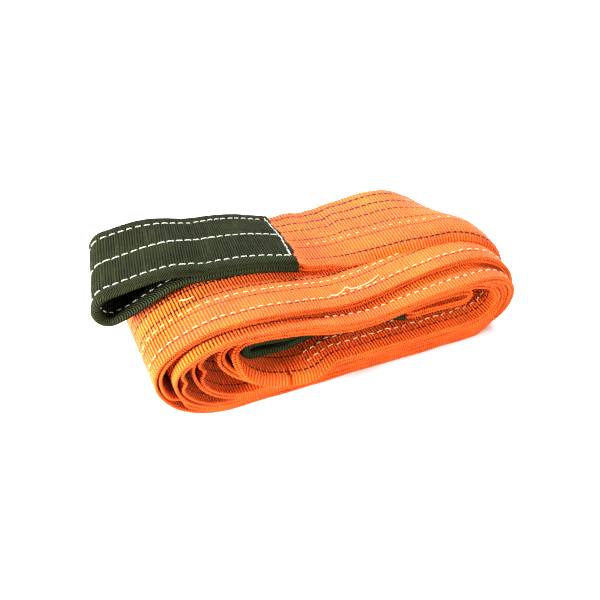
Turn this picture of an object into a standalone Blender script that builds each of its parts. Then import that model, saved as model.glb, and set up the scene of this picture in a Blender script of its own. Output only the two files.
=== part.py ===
"""Duplex flat webbing sling with two sleeved lifting eyes, rolled into a flattened coil.

Metres, +Z up. The coil lies on its flat underside, long axis along X, strap width along Y.
The strap is two plies of webbing sewn face to face. It winds inwards from the outer eye, which
lies on top of the coil, to the inner eye in the middle. At each eye the plies part and the
webbing forms a loop inside a sewn fabric sleeve.
"""
import bmesh
import bpy
from math import cos, exp, hypot, radians, sin, tan

# ---------------------------------------------------------------- strap
WEB_WIDTH = 0.090
PLY_THICKNESS = 0.00275
PLY_GAP = 0.0003
STRAP_THICKNESS = 2 * PLY_THICKNESS + PLY_GAP
LAYER_PITCH = 0.0064

# ---------------------------------------------------------------- coil, one entry per turn, outermost first
TURNS = 5
LEFT_FACE_X = (-0.1565, -0.1420, -0.1260, -0.1045, -0.0925)
LEFT_WIDEST_Z = (0.054, 0.053, 0.059, 0.0615, 0.0615)
LEFT_UPPER_REACH = (0.073, 0.056, 0.036, 0.015, 0.013)
LEFT_LOWER_REACH = (0.0635, 0.055, 0.049, 0.0595, 0.057)
LEFT_LOWER_POWER = (2.0, 2.0, 2.0, 1.6, 1.8)
RIGHT_FACE_X = (0.1890, 0.1825, 0.1760, 0.1695, 0.1630)
RIGHT_WIDEST_Z = 0.0465
RIGHT_UPPER_REACH = (0.051, 0.0455, 0.0395, 0.0335, 0.0270)
RIGHT_LOWER_REACH = (0.0405, 0.036, 0.033, 0.030, 0.0265)
INNER_BIGHT_X = 0.1370
INNER_BIGHT_REACH = 0.009
INNER_BIGHT_SINK = 0.003
# Y of the strap's near edge at the left and the right end of every upper run, and on every lower run
UPPER_NEAR_LEFT_Y = (0.0, -0.0560, -0.0680, -0.0580, -0.0530, -0.0500)
UPPER_NEAR_Y = (-0.0150, -0.0400, -0.0640, -0.0570, -0.0530, -0.0500)
LOWER_NEAR_Y = (-0.0530, -0.0550, -0.0570, -0.0605, -0.0635)

# height of the first wound run: a plateau on the left, a sag in the middle, a lower right end
STACK_HEIGHT = 0.0935
SAG_DEPTH = 0.019
SAG_X = 0.0275
SAG_LENGTH = 0.0595
RIGHT_DROP = 0.0115
RIGHT_DROP_FROM = 0.021
RIGHT_DROP_TO = 0.143

# X of the place on the innermost lower run where the two ends of the webbing meet
WEBBING_ENDS_X = -0.045
WEBBING_ENDS_GAP = 0.0006

# ---------------------------------------------------------------- eyes
THROAT_X = 0.0
THROAT_Y = UPPER_NEAR_LEFT_Y[0]
BUTT_GAP = 0.0003
SLEEVE_WALL = 0.0009
SLEEVE_CLEARANCE = 0.0003
SLEEVE_WIDTH = 0.0926
SLEEVE_START = 0.0105
LEG_THICKNESS = PLY_THICKNESS + 2 * SLEEVE_CLEARANCE + 2 * SLEEVE_WALL
LEG_PITCH = LEG_THICKNESS + 0.0004
REST_GAP = 0.0009
OUTER_EYE_TIP_X = -0.185
OUTER_EYE_GAP = 0.022
OUTER_EYE_YAW = radians(2.0)
OUTER_EYE_DROOP = 0.025
# the far edge of the outer eye is drawn in, which turns its tip in plan
OUTER_EYE_TURN = radians(11.0)
OUTER_EYE_TURN_X = -0.120
INNER_EYE_THROAT_X = 0.083
INNER_EYE_TIP_X = -0.0765
INNER_EYE_GAP = 0.0070
INNER_EYE_RECESS = 0.018
INNER_EYE_SKEW = 0.014

# ---------------------------------------------------------------- sewing
THREAD_WIDTH = 0.0013
THREAD_HEIGHT = 0.0005
THREAD_LIFT = 0.0003
SLEEVE_ROWS = (("near", 0.010), ("middle", 0.045), ("far", 0.080))
BARTACK_LENGTH = 0.078
BARTACK_WIDTH = 0.003
BARTACK_INSET = 0.003

# longest stretch between stations and the largest bow a straight piece may cut off
LONGEST_STATION = 0.016
EYE_STATION = 0.0065
LARGEST_BOW = 0.00010
# corners lower than this lie on the floor
FLOOR_SLACK = 0.0003
# a face whose corners stray further than this from a plane is split into triangles
FLATNESS = 0.000002


def principled(name, colour, roughness):
    """Plain dielectric material."""
    material = bpy.data.materials.new(name)
    material.use_nodes = True
    shader = material.node_tree.nodes["Principled BSDF"]
    shader.inputs["Base Color"].default_value = (colour[0], colour[1], colour[2], 1.0)
    shader.inputs["Roughness"].default_value = roughness
    shader.inputs["Metallic"].default_value = 0.0
    return material


# ---------------------------------------------------------------- lines
def smooth(start, end, x):
    """Rises from 0 at start to 1 at end."""
    t = min(max((x - start) / (end - start), 0.0), 1.0)
    return t * t * (3.0 - 2.0 * t)


def upper_height(run, x):
    """Centre height of an upper run; run 0 is the top one, laid on the wound coil."""
    sag = SAG_DEPTH * exp(-(((x - SAG_X) / SAG_LENGTH) ** 2))
    drop = RIGHT_DROP * smooth(RIGHT_DROP_FROM, RIGHT_DROP_TO, x)
    return STACK_HEIGHT - sag - drop - (run - 1) * LAYER_PITCH


def lower_height(run):
    """Centre height of a lower run; run 0 lies on the floor."""
    return STRAP_THICKNESS / 2 + run * LAYER_PITCH


def quarter(x, z, reach, rise, start, end, power=2.0, count=14):
    """Quarter of a rounded bend; start and end in degrees."""
    points = []
    for i in range(count + 1):
        angle = radians(start + (end - start) * i / count)
        c = cos(angle)
        s = sin(angle)
        along = reach * abs(c) ** (2 / power)
        up = rise * abs(s) ** (2 / power)
        points.append((x + (along if c >= 0 else -along), z + (up if s >= 0 else -up)))
    return points


def add_run(line, start, end, height, near_start, near_end):
    """Nearly level stretch between two bights."""
    count = max(3, int(abs(end - start) / 0.004))
    for i in range(1, count):
        t = i / count
        x = start + (end - start) * t
        line.append((x, height(x), near_start + (near_end - near_start) * smooth(0.0, 1.0, t)))


def add_bight(line, points, near_start, near_end):
    """Turn at either end of the coil; the strap's edge shifts sideways through it."""
    last = len(points) - 1
    for i, (x, z) in enumerate(points):
        line.append((x, z, near_start + (near_end - near_start) * i / last))


def right_bight(turn):
    """Bend from an upper run down to the lower run of the same turn."""
    face = RIGHT_FACE_X[turn] - STRAP_THICKNESS / 2
    x_up = face - RIGHT_UPPER_REACH[turn]
    x_low = face - RIGHT_LOWER_REACH[turn]
    rise = upper_height(turn, x_up) - RIGHT_WIDEST_Z
    fall = RIGHT_WIDEST_Z - lower_height(turn)
    bend = quarter(x_up, RIGHT_WIDEST_Z, RIGHT_UPPER_REACH[turn], rise, 90, 0)
    bend += quarter(x_low, RIGHT_WIDEST_Z, RIGHT_LOWER_REACH[turn], fall, 0, -90)[1:]
    return x_up, x_low, bend


def left_bight(turn):
    """Bend from a lower run up to the upper run of the next turn."""
    face = LEFT_FACE_X[turn] + STRAP_THICKNESS / 2
    widest = LEFT_WIDEST_Z[turn]
    x_low = face + LEFT_LOWER_REACH[turn]
    x_up = face + LEFT_UPPER_REACH[turn]
    fall = widest - lower_height(turn)
    rise = upper_height(turn + 1, x_up) - widest
    bend = quarter(x_low, widest, LEFT_LOWER_REACH[turn], fall, -90, -180, LEFT_LOWER_POWER[turn])
    bend += quarter(x_up, widest, LEFT_UPPER_REACH[turn], rise, 180, 90)[1:]
    return x_low, x_up, bend


def inner_eye_height(x):
    """Centre height of the inner eye, which hugs the last upper run and sinks to turn back up into it."""
    contact = upper_height(TURNS, x) - STRAP_THICKNESS / 2 - REST_GAP
    return contact - (LEG_THICKNESS + LEG_PITCH) / 2 - INNER_BIGHT_SINK * smooth(0.080, 0.125, x)


def coil_line():
    """Centre line of the strap as (x, z, near edge), from the top run to the inner eye."""
    line = [(THROAT_X, upper_height(0, THROAT_X), UPPER_NEAR_LEFT_Y[0])]
    x = THROAT_X
    near = UPPER_NEAR_LEFT_Y[0]
    for turn in range(TURNS):
        x_up, x_low, bend = right_bight(turn)
        add_run(line, x, x_up, lambda v: upper_height(turn, v), near, UPPER_NEAR_Y[turn])
        add_bight(line, bend, UPPER_NEAR_Y[turn], LOWER_NEAR_Y[turn])
        x_left, x_next, bend = left_bight(turn)
        add_run(line, x_low, x_left, lambda v: lower_height(turn), LOWER_NEAR_Y[turn], LOWER_NEAR_Y[turn])
        add_bight(line, bend, LOWER_NEAR_Y[turn], UPPER_NEAR_LEFT_Y[turn + 1])
        x = x_next
        near = UPPER_NEAR_LEFT_Y[turn + 1]
    x_turn = INNER_BIGHT_X - INNER_BIGHT_REACH
    add_run(line, x, x_turn, lambda v: upper_height(TURNS, v), near, near)
    z_up = upper_height(TURNS, x_turn)
    radius = (z_up - inner_eye_height(x_turn)) / 2
    add_bight(line, quarter(x_turn, z_up - radius, INNER_BIGHT_REACH, radius, 90, -90), near, near)
    add_run(line, x_turn, INNER_EYE_THROAT_X, inner_eye_height, near, near)
    line.append((INNER_EYE_THROAT_X, inner_eye_height(INNER_EYE_THROAT_X), near))
    return line


def resample(line, step):
    """Even stations along a line, keeping both ends."""
    travelled = [0.0]
    for a, b in zip(line, line[1:]):
        travelled.append(travelled[-1] + hypot(b[0] - a[0], b[1] - a[1]))
    count = max(2, round(travelled[-1] / step))
    result = []
    k = 0
    for i in range(count + 1):
        target = travelled[-1] * i / count
        while k < len(line) - 2 and travelled[k + 1] < target:
            k += 1
        span = travelled[k + 1] - travelled[k]
        t = (target - travelled[k]) / span if span > 0 else 0.0
        result.append(tuple(a + (b - a) * t for a, b in zip(line[k], line[k + 1])))
    return result


def relax(line, rounds):
    """Evens out the bending; the ends stay where they are."""
    for _ in range(rounds):
        inner = [tuple((a + 2 * b + c) / 4 for a, b, c in zip(p, q, r))
                 for p, q, r in zip(line, line[1:], line[2:])]
        line = [line[0]] + inner + [line[-1]]
    return line


def bow(line, first, last):
    """How far the line strays from the straight piece between two of its points."""
    ax, az = line[first][0], line[first][1]
    dx = line[last][0] - ax
    dz = line[last][1] - az
    length = hypot(dx, dz)
    return max([abs((p[0] - ax) * dz - (p[1] - az) * dx) / length for p in line[first + 1:last]] or [0.0])


def thin(line, longest=LONGEST_STATION):
    """Leaves out the points a nearly straight piece does not need."""
    kept = [0]
    i = 1
    while i < len(line) - 1:
        length = hypot(line[i + 1][0] - line[kept[-1]][0], line[i + 1][1] - line[kept[-1]][1])
        if length > longest or bow(line, kept[-1], i + 1) > LARGEST_BOW:
            kept.append(i)
        i += 1
    kept.append(len(line) - 1)
    return [line[i] for i in kept]


def shifted(line, distance, square_ends=False):
    """Parallel line; positive is to the left of the way the line runs."""
    result = []
    last = len(line) - 1
    for i, point in enumerate(line):
        before = line[max(i - 1, 0)]
        after = line[min(i + 1, last)]
        dx = after[0] - before[0]
        dz = after[1] - before[1]
        if square_ends and i in (0, last):
            dz = 0.0
        length = hypot(dx, dz)
        result.append((point[0] - dz / length * distance, point[1] + dx / length * distance) + point[2:])
    return result


def runs_of(line):
    """The line cut where it changes between going right and going left: upper, lower, upper and so on."""
    groups = [[line[0]]]
    heading = 1
    for a, b in zip(line, line[1:]):
        now = 1 if b[0] > a[0] else -1
        if now != heading:
            groups.append([])
            heading = now
        groups[-1].append(b)
    return groups


# ---------------------------------------------------------------- solids
def settled(z):
    """Height of a corner; one that almost touches the floor lies on it."""
    return 0.0 if z < FLOOR_SLACK else z


def strip_stations(line, near, width, thickness, square_ends):
    """Four corners of a flat section at every station."""
    outer = shifted(line, thickness / 2, square_ends)
    inner = shifted(line, -thickness / 2, square_ends)
    rings = []
    for (xo, zo, y), (xi, zi, _) in zip(outer, inner):
        low = y + near
        zo = settled(zo)
        zi = settled(zi)
        rings.append([(xo, low, zo), (xo, low + width, zo), (xi, low + width, zi), (xi, low, zi)])
    return rings


def join_rings(rings):
    """Closed solid through a row of equal outlines."""
    count = len(rings[0])
    verts = [v for ring in rings for v in ring]
    faces = []
    for i in range(len(rings) - 1):
        for j in range(count):
            k = (j + 1) % count
            faces.append((i * count + j, i * count + k, (i + 1) * count + k, (i + 1) * count + j))
    faces.append(tuple(range(count - 1, -1, -1)))
    faces.append(tuple((len(rings) - 1) * count + j for j in range(count)))
    return verts, faces


def join_tubes(outer, inner):
    """Closed solid of an outer skin, an inner skin and the two open ends between them."""
    count = len(outer[0])
    half = len(outer) * count
    verts = [v for ring in outer for v in ring] + [v for ring in inner for v in ring]
    faces = []
    for i in range(len(outer) - 1):
        for j in range(count):
            k = (j + 1) % count
            a = i * count + j
            b = i * count + k
            c = b + count
            d = a + count
            faces.append((a, b, c, d))
            faces.append((half + d, half + c, half + b, half + a))
    end = (len(outer) - 1) * count
    for j in range(count):
        k = (j + 1) % count
        faces.append((k, j, half + j, half + k))
        faces.append((end + j, end + k, half + end + k, half + end + j))
    return verts, faces


def signed_volume(verts, faces):
    """Positive when the faces point outwards."""
    total = 0.0
    for face in faces:
        a = verts[face[0]]
        for i in range(1, len(face) - 1):
            b = verts[face[i]]
            c = verts[face[i + 1]]
            total += (a[0] * (b[1] * c[2] - b[2] * c[1]) - a[1] * (b[0] * c[2] - b[2] * c[0])
                      + a[2] * (b[0] * c[1] - b[1] * c[0]))
    return total


def add_solid(name, verts, faces, material):
    """Mesh object with outward faces."""
    if signed_volume(verts, faces) < 0:
        faces = [tuple(reversed(f)) for f in faces]
    mesh = bpy.data.meshes.new(name)
    mesh.from_pydata(verts, [], faces)
    mesh.materials.append(material)
    mesh.shade_smooth()
    mesh.set_sharp_from_angle(angle=radians(40))
    obj = bpy.data.objects.new(name, mesh)
    bpy.context.scene.collection.objects.link(obj)
    return obj


def add_strap(name, line, material):
    """One ply of webbing following a line."""
    return add_solid(name, *join_rings(strip_stations(line, 0.0, WEB_WIDTH, PLY_THICKNESS, True)), material)


def add_sleeve(name, line, material):
    """Flat fabric tube around the webbing that follows a line; both ends are open."""
    margin = (WEB_WIDTH - SLEEVE_WIDTH) / 2
    outer = strip_stations(line, margin, SLEEVE_WIDTH, LEG_THICKNESS, True)
    inner = strip_stations(line, margin + SLEEVE_WALL, SLEEVE_WIDTH - 2 * SLEEVE_WALL,
                           LEG_THICKNESS - 2 * SLEEVE_WALL, True)
    return add_solid(name, *join_tubes(outer, inner), material)


def add_row(name, line, near, material, width=THREAD_WIDTH):
    """Row of sewing thread along a line, a given way in from the strap's near edge."""
    return add_solid(name, *join_rings(strip_stations(line, near - width / 2, width, THREAD_HEIGHT, False)),
                     material)


# ---------------------------------------------------------------- eyes
def eye_line(throat, tip, upper, lower, near):
    """Centre line of a loop: along the upper leg to the tip, around it and back along the lower leg."""
    radius = (upper(tip + 0.012) - lower(tip + 0.012)) / 2
    turn_x = tip + radius
    middle = (upper(turn_x) + lower(turn_x)) / 2
    half = (upper(turn_x) - lower(turn_x)) / 2
    legs = 40
    line = []
    for i in range(legs):
        x = throat + (turn_x - throat) * i / legs
        line.append((x, upper(x), near(x)))
    for x, z in quarter(turn_x, middle, radius, half, 90, 270, 2.0, 16):
        line.append((x, z, near(x)))
    for i in range(legs - 1, -1, -1):
        x = throat + (turn_x - throat) * i / legs
        line.append((x, lower(x), near(x)))
    return thin(relax(resample(line, 0.0015), 4), EYE_STATION)


def leg_spread(throat, x):
    """Distance between the centres of the two legs where they lie together."""
    plies = PLY_THICKNESS + PLY_GAP
    return plies + (LEG_PITCH - plies) * smooth(throat, throat - SLEEVE_START, x)


def outer_lower_leg(x):
    """On the strap's lower ply at the throat, then lying on the coil and drooping over its end."""
    start = upper_height(0, THROAT_X) - (PLY_THICKNESS + PLY_GAP) / 2
    rest = upper_height(1, x) + STRAP_THICKNESS / 2 + REST_GAP + LEG_THICKNESS / 2
    droop = OUTER_EYE_DROOP * smooth(-0.104, -0.180, x)
    return start + (rest - start) * smooth(THROAT_X, THROAT_X - SLEEVE_START, x) - droop


def outer_upper_leg(x):
    """Parts from the lower leg towards the tip."""
    return outer_lower_leg(x) + leg_spread(THROAT_X, x) + OUTER_EYE_GAP * smooth(-0.085, -0.172, x)


def outer_near(x):
    """The outer eye lies slightly askew on the coil."""
    return THROAT_Y + tan(OUTER_EYE_YAW) * (THROAT_X - x) * smooth(0.0, -0.050, x)


def inner_upper_leg(x):
    """Under the last upper run."""
    return inner_eye_height(x) + leg_spread(INNER_EYE_THROAT_X, x) / 2


def inner_lower_leg(x):
    """Sinks away from the upper leg towards the tip."""
    return (inner_eye_height(x) - leg_spread(INNER_EYE_THROAT_X, x) / 2
            - INNER_EYE_GAP * smooth(-0.010, -0.058, x))


def inner_near(x):
    """The inner eye lies further in than the run above it and comes back out towards its tip."""
    return (UPPER_NEAR_Y[TURNS] + INNER_EYE_RECESS * smooth(INNER_EYE_THROAT_X, 0.050, x)
            - INNER_EYE_SKEW * smooth(0.010, -0.045, x))


def make_eye(prefix, line, throat, row_part, bartack_leg, near, materials):
    """Webbing loop, sleeve, three rows of stitching and the bar tack across the sleeve's end."""
    webbing, cloth, thread = materials
    parts = [add_strap(prefix + "_webbing", line, webbing)]
    clothed = [p for p in line if p[0] < throat - SLEEVE_START]
    parts.append(add_sleeve(prefix + "_sleeve", clothed, cloth))
    raised = LEG_THICKNESS / 2 + THREAD_LIFT + THREAD_HEIGHT / 2
    rows = row_part(shifted(clothed, -raised))
    for label, inset in SLEEVE_ROWS:
        parts.append(add_row(prefix + "_seam_" + label, rows, inset, thread))
    x = throat - SLEEVE_START - BARTACK_INSET
    side = 1 if bartack_leg is outer_upper_leg else -1
    across = [(v, bartack_leg(v) + side * raised, near(v)) for v in (x, x - BARTACK_WIDTH)]
    inset = (WEB_WIDTH - BARTACK_LENGTH) / 2
    parts.append(add_solid(prefix + "_bartack", *join_rings(
        strip_stations(across, inset, BARTACK_LENGTH, THREAD_HEIGHT, True)), thread))
    return parts


def rows_on_top(line):
    """Top of the upper leg and around the tip, as far as the end of the coil."""
    tip = min(range(len(line)), key=lambda i: line[i][0])
    first = THROAT_X - SLEEVE_START - BARTACK_INSET - BARTACK_WIDTH - 0.0015
    return [p for i, p in enumerate(line) if (i <= tip and p[0] < first) or (i > tip and p[0] < -0.166)]


def rows_below(line):
    """Around the tip and along the underside of the lower leg."""
    tip = min(range(len(line)), key=lambda i: line[i][0])
    last = INNER_EYE_THROAT_X - SLEEVE_START - BARTACK_INSET - BARTACK_WIDTH - 0.0015
    return [p for i, p in enumerate(line) if i >= tip - 2 and p[0] < last]


def turn_in_plan(obj):
    """Draws the far side of the outer eye towards the throat; faces that are no longer flat are split."""
    bm = bmesh.new()
    bm.from_mesh(obj.data)
    for vertex in bm.verts:
        angle = OUTER_EYE_TURN * smooth(THROAT_X, OUTER_EYE_TURN_X, vertex.co.x)
        reach = vertex.co.y - THROAT_Y
        vertex.co.x += reach * sin(angle)
        vertex.co.y = THROAT_Y + reach * cos(angle)
    bm.normal_update()
    bent = []
    for face in bm.faces:
        middle = face.calc_center_median()
        if max(abs((v.co - middle).dot(face.normal)) for v in face.verts) > FLATNESS:
            bent.append(face)
    bmesh.ops.triangulate(bm, faces=bent, quad_method="SHORT_EDGE")
    bm.to_mesh(obj.data)
    bm.free()


def make_outer_eye(materials):
    """Moving eye on top of the coil; its origin is on the fold across the throat."""
    line = eye_line(THROAT_X - BUTT_GAP, OUTER_EYE_TIP_X, outer_upper_leg, outer_lower_leg, outer_near)
    parts = make_eye("outer_eye", line, THROAT_X, rows_on_top, outer_upper_leg, outer_near, materials)
    fold = (THROAT_X, THROAT_Y + WEB_WIDTH / 2, upper_height(0, THROAT_X) + STRAP_THICKNESS / 2)
    for obj in parts:
        turn_in_plan(obj)
        for vertex in obj.data.vertices:
            vertex.co = [a - b for a, b in zip(vertex.co, fold)]
        obj.location = fold


def make_inner_eye(materials):
    """Eye in the middle of the coil."""
    line = eye_line(INNER_EYE_THROAT_X - BUTT_GAP, INNER_EYE_TIP_X, inner_upper_leg, inner_lower_leg, inner_near)
    make_eye("inner_eye", line, INNER_EYE_THROAT_X, rows_below, inner_lower_leg, inner_near, materials)


# ---------------------------------------------------------------- coil
def make_plies(coil, webbing):
    """The outer ply is one length; the inner ply is interrupted where the webbing's two ends meet."""
    half = (PLY_THICKNESS + PLY_GAP) / 2
    add_strap("webbing_outer_ply", thin(shifted(coil, half, True)), webbing)
    inner = shifted(coil, -half, True)
    last_lower = runs_of(inner)[2 * TURNS - 1]
    meet = min(last_lower, key=lambda p: abs(p[0] - WEBBING_ENDS_X))
    at = inner.index(meet)
    before = inner[:at] + [(meet[0] + WEBBING_ENDS_GAP / 2,) + meet[1:]]
    after = [(meet[0] - WEBBING_ENDS_GAP / 2,) + meet[1:]] + inner[at + 1:]
    add_strap("webbing_inner_ply_long", thin(before), webbing)
    add_strap("webbing_inner_ply_short", thin(after), webbing)


def make_body_seams(coil, thread):
    """Rows that join the two plies, where they lie open to view."""
    raised = STRAP_THICKNESS / 2 + THREAD_LIFT + THREAD_HEIGHT / 2
    outside = runs_of(thin(shifted(coil, raised)))
    first = outside[2]
    second = outside[4]
    add_row("body_seam_near", [p for p in first if p[0] < 0.150], 0.0125, thread)
    add_row("body_seam_second", [p for p in first if p[0] < 0.080], 0.0290, thread)
    add_row("body_seam_turn_two", [p for p in second if -0.100 < p[0] < 0.140], 0.0100, thread)
    inside = runs_of(thin(shifted(coil, -raised)))[2 * TURNS - 1]
    add_row("body_seam_inside_near", [p for p in inside if -0.032 < p[0] < 0.120], 0.0140, thread)
    add_row("body_seam_inside_second", [p for p in inside if -0.032 < p[0] < 0.120], 0.0310, thread)


def centre_on_floor():
    """Puts the middle of the outline over the origin."""
    corners = [obj.matrix_basis @ v.co for obj in bpy.data.objects for v in obj.data.vertices]
    middle = [(min(c[i] for c in corners) + max(c[i] for c in corners)) / 2 for i in range(2)]
    for obj in bpy.data.objects:
        obj.location.x -= middle[0]
        obj.location.y -= middle[1]


def build():
    for obj in list(bpy.data.objects):
        bpy.data.objects.remove(obj, do_unlink=True)
    webbing = principled("orange_webbing", (0.90, 0.22, 0.035), 0.75)
    cloth = principled("olive_sleeve", (0.055, 0.06, 0.035), 0.85)
    thread = principled("white_thread", (0.85, 0.83, 0.76), 0.7)
    coil = relax(resample(coil_line(), 0.0015), 10)
    make_plies(coil, webbing)
    make_body_seams(coil, thread)
    make_outer_eye((webbing, cloth, thread))
    make_inner_eye((webbing, cloth, thread))
    centre_on_floor()


build()
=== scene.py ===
from math import cos, exp, pi, radians, sin, tan

import bmesh
import bpy
import numpy as np
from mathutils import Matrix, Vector


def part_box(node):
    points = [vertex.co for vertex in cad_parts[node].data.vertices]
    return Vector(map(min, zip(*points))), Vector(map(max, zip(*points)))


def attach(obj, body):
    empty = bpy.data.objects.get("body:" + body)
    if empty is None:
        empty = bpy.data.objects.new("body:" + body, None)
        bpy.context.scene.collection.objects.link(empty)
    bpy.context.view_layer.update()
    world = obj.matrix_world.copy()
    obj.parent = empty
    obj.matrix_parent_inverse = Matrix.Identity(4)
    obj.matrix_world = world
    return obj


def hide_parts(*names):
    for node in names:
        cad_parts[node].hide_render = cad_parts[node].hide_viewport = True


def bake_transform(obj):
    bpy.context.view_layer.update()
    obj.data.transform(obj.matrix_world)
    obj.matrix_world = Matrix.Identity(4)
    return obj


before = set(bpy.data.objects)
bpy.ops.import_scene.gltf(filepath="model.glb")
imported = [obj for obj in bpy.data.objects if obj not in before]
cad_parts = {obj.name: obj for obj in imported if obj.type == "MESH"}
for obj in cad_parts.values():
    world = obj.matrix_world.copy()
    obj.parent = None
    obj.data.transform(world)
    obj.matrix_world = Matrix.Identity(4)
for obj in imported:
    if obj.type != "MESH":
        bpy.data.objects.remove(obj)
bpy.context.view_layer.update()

# ---------------------------------------------------------------- strap and coil, as in the CAD part
WEB_WIDTH = 0.090
PLY_THICKNESS = 0.00275
PLY_GAP = 0.0003
STRAP_THICKNESS = 2 * PLY_THICKNESS + PLY_GAP
LAYER_PITCH = 0.0064
TURNS = 5
LEFT_FACE_X = (-0.1565, -0.1420, -0.1260, -0.1045, -0.0925)
LEFT_WIDEST_Z = (0.054, 0.053, 0.059, 0.0615, 0.0615)
LEFT_UPPER_REACH = (0.073, 0.056, 0.036, 0.015, 0.013)
LEFT_LOWER_REACH = (0.0635, 0.055, 0.049, 0.0595, 0.057)
LEFT_LOWER_POWER = (2.0, 2.0, 2.0, 1.6, 1.8)
RIGHT_FACE_X = (0.1890, 0.1825, 0.1760, 0.1695, 0.1630)
RIGHT_WIDEST_Z = 0.0465
RIGHT_UPPER_REACH = (0.051, 0.0455, 0.0395, 0.0335, 0.0270)
RIGHT_LOWER_REACH = (0.0405, 0.036, 0.033, 0.030, 0.0265)
INNER_BIGHT_X = 0.1370
INNER_BIGHT_REACH = 0.009
INNER_BIGHT_SINK = 0.003
UPPER_NEAR_LEFT_Y = (0.0, -0.0560, -0.0680, -0.0580, -0.0530, -0.0500)
UPPER_NEAR_Y = (-0.0150, -0.0400, -0.0640, -0.0570, -0.0530, -0.0500)
LOWER_NEAR_Y = (-0.0530, -0.0550, -0.0570, -0.0605, -0.0635)
STACK_HEIGHT = 0.0935
SAG_DEPTH = 0.019
SAG_X = 0.0275
SAG_LENGTH = 0.0595
RIGHT_DROP = 0.0115
RIGHT_DROP_FROM = 0.021
RIGHT_DROP_TO = 0.143
WEBBING_ENDS_X = -0.045
THROAT_X = 0.0
SLEEVE_WALL = 0.0009
SLEEVE_CLEARANCE = 0.0003
SLEEVE_WIDTH = 0.0926
SLEEVE_START = 0.0105
LEG_THICKNESS = PLY_THICKNESS + 2 * SLEEVE_CLEARANCE + 2 * SLEEVE_WALL
LEG_PITCH = LEG_THICKNESS + 0.0004
REST_GAP = 0.0009
OUTER_EYE_TIP_X = -0.185
OUTER_EYE_GAP = 0.022
OUTER_EYE_YAW = radians(2.0)
OUTER_EYE_DROOP = 0.025
OUTER_EYE_TURN = radians(11.0)
OUTER_EYE_TURN_X = -0.120
INNER_EYE_THROAT_X = 0.083
INNER_EYE_TIP_X = -0.0765
INNER_EYE_GAP = 0.0070
INNER_EYE_RECESS = 0.018
INNER_EYE_SKEW = 0.014

# ---------------------------------------------------------------- weave and sewing
RIB_PITCH = 0.0028
YARN_PITCH = 0.0013
# place across and half width of the woven marker stripes
STRIPES = ((0.0115, 0.0007), (0.0295, 0.0007), (0.0420, 0.0010),
           (0.0580, 0.0011), (0.0700, 0.0012), (0.0815, 0.0012))
# place across of every row of stitches
BODY_ROWS = (0.0135, 0.0350)
TURN_TWO_ROW = 0.0110
INSIDE_ROWS = (0.0190, 0.0300)
SLEEVE_ROWS = (0.010, 0.045, 0.080)
SLEEVE_RIB_PITCH = 0.0023
SLEEVE_YARN_PITCH = 0.00115
SLEEVE_TWILL_PITCH = 0.0023
STITCH_PITCH = 0.0079
THREAD_RADIUS = 0.00031
BODY_THREAD_RADIUS = 0.00034
TOP_THREAD_RADIUS = 0.00030
LOOSE_THREAD_RADIUS = 0.00035
THREAD_END_TAPER = 0.45
# how far the rows of a sleeve stay back from its cut ends
ROW_INSET = 0.004
MIDDLE_ROW_INSET = 0.0015
# half the gap and the notch where the two ends of the inner ply meet
HALF_BUTT_GAP = 0.0002
BUTT_NOTCH = 0.0022
NOTCH_REACH = 0.004
BARTACK_FROM = 0.0105
BARTACK_TO = 0.0835
BARTACK_INSET = 0.0045
BARTACK_PITCH = 0.0011
BARTACK_HALF_WIDTH = 0.00060
# the first end of the outer sleeve is cut at a slant, and every cut end is ragged
OUTER_SLEEVE_SLANT = 0.0078
SLANT_REACH = 0.02
RAGGED_REACH = 0.004

# ---------------------------------------------------------------- fineness of the meshes
PLY_RING_STEP = 0.0018
SLEEVE_RING_STEP = 0.0016
SELVAGE_ROUND = 0.0011
SLEEVE_MARGIN_ROUND = 0.0030

# how far the loop of webbing at the outer eye reaches into the top run before the long plies take over
EYE_WEBBING_END_X = 0.016

# ---------------------------------------------------------------- slack of the cloth
# turn, depth, distance past the middle of the bight, length of the buckle
BUCKLES = ((0, 0.0052, -0.034, 0.008), (0, 0.0012, 0.0, 0.03),
           (1, 0.0052, 0.001, 0.0065), (1, 0.0014, -0.02, 0.02),
           (2, 0.0056, -0.004, 0.0065), (2, 0.0012, 0.01, 0.02), (3, 0.0008, 0.0, 0.03))
TOP_CROWN = 0.0018
# x, reach along x, place across, reach across, height
TOP_DENTS = ((0.092, 0.032, 0.090, 0.034, 0.0040), (0.022, 0.010, 0.084, 0.020, -0.0020),
             (0.042, 0.0055, 0.068, 0.022, -0.0022), (0.053, 0.008, 0.060, 0.018, 0.0016),
             (0.078, 0.012, 0.052, 0.014, -0.0010))
# the near margin of the top run rolls down in steps: angle, from x, to x
NEAR_ROLL = ((radians(22), 0.018, 0.04), (radians(20), 0.035, 0.08), (radians(24), 0.10, 0.165))
NEAR_ROLL_AT = 0.0125
NEAR_ROLL_RADIUS = 0.0042
# far margins of the two outermost turns
FLOP_Y = 0.004
FLOP_FROM_X = 0.105
FLOP_FULL_X = 0.185
FLOP_RADIUS = 0.060
FLOP_ANGLE = radians(30)
# near margin of the innermost lower run
HANG_AT = 0.0105
HANG_RADIUS = 0.0040
HANG_ANGLE = radians(62)
HANG_OUT = 0.0085
# far margin of the outer eye; EYE_HANG_FROM is a place across
EYE_HANG_FROM = 0.036
EYE_HANG_RADIUS = 0.040
EYE_HANG_ANGLE = radians(8.5)

# small unevenness everywhere
PLY_EDGE_WAVER = 0.00055
COIL_RIPPLE = 0.00018

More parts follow.
